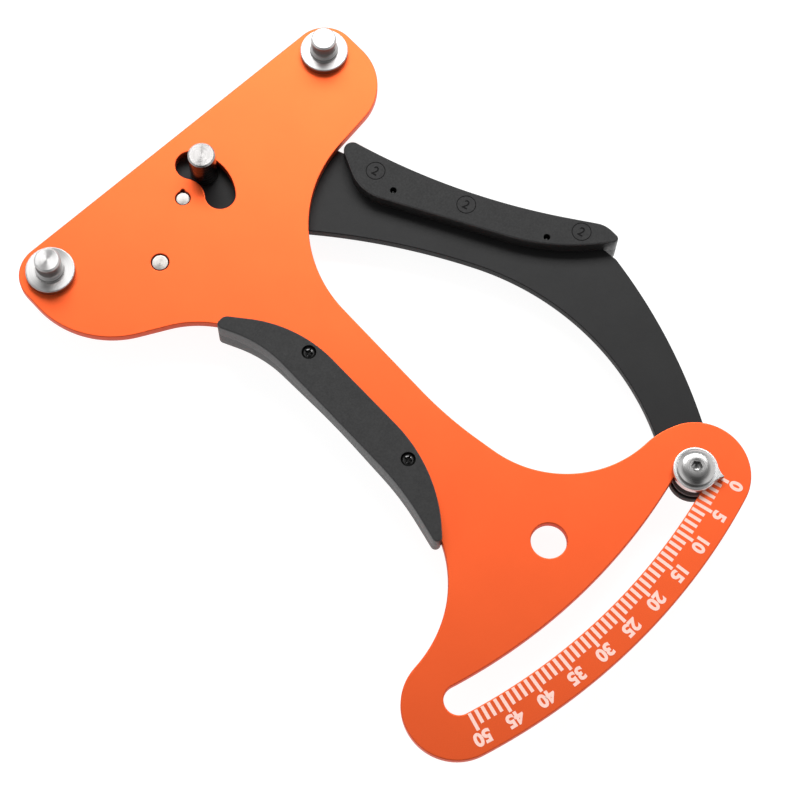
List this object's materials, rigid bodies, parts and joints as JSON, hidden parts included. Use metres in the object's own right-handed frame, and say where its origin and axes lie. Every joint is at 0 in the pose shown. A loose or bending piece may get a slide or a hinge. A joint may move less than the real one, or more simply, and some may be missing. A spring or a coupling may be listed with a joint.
{
  "type": "spoke tension meter",
  "caption": "Hand gauge for the tension of wheel spokes: a flat frame with turned posts and a curved scale, and a sprung arm with a plunger and a pointer.",
  "frame": {"origin": "middle of the footprint of the tool lying on its back, at the height of its lowest point, the end of the pivot pin", "axes": "+Y from the scale to the head with the posts, +X towards the arm and its grip, +Z out of the front face, along the posts"},
  "size_m": [0.1498, 0.2082, 0.0223],
  "materials": {
    "frame_orange": "satin",
    "arm_black": "satin",
    "grip_black": "matte",
    "turned_steel": "turned",
    "pin_steel": "brushed",
    "spring_steel": "drawn",
    "black_screw": "gloss",
    "ring_black": "phosphated",
    "pointer_alloy": "turned"
  },
  "bodies": {
    "frame": {"frame_plate": "frame_orange", "frame_grip_front": "grip_black", "frame_grip_back": "grip_black", "frame_grip_screws": "black_screw", "post_left": "turned_steel", "post_right": "turned_steel", "post_washers": "pin_steel", "post_screws": "pin_steel", "pivot_pin": "pin_steel", "pivot_spacer": "pin_steel", "pivot_back_washer": "pin_steel", "retaining_ring": "ring_black", "spring_anchor_pin": "pin_steel", "return_spring": "spring_steel"},
    "arm": {"arm_plate": "arm_black", "arm_grip_front": "grip_black", "arm_grip_back": "grip_black", "arm_grip_screws": "black_screw", "spring_hook_pin": "pin_steel", "plunger": "turned_steel", "plunger_washer": "pin_steel", "plunger_screw": "pin_steel", "pointer": "pointer_alloy", "pointer_screw": "turned_steel", "pointer_sleeve": "pointer_alloy", "pointer_spacer": "pointer_alloy", "pointer_nut": "pin_steel"}
  },
  "joints": [
    {"name": "arm_swing", "type": "hinge", "parent": "frame", "child": "arm", "pos_m": [-0.01353, 0.08675, 0.0074], "axis": [0, 0, -1], "range_deg": [0, 31.9], "stiffness_Nm_per_rad": 0.9, "springref_deg": -20.05, "deforming": ["return_spring"]}
  ]
}
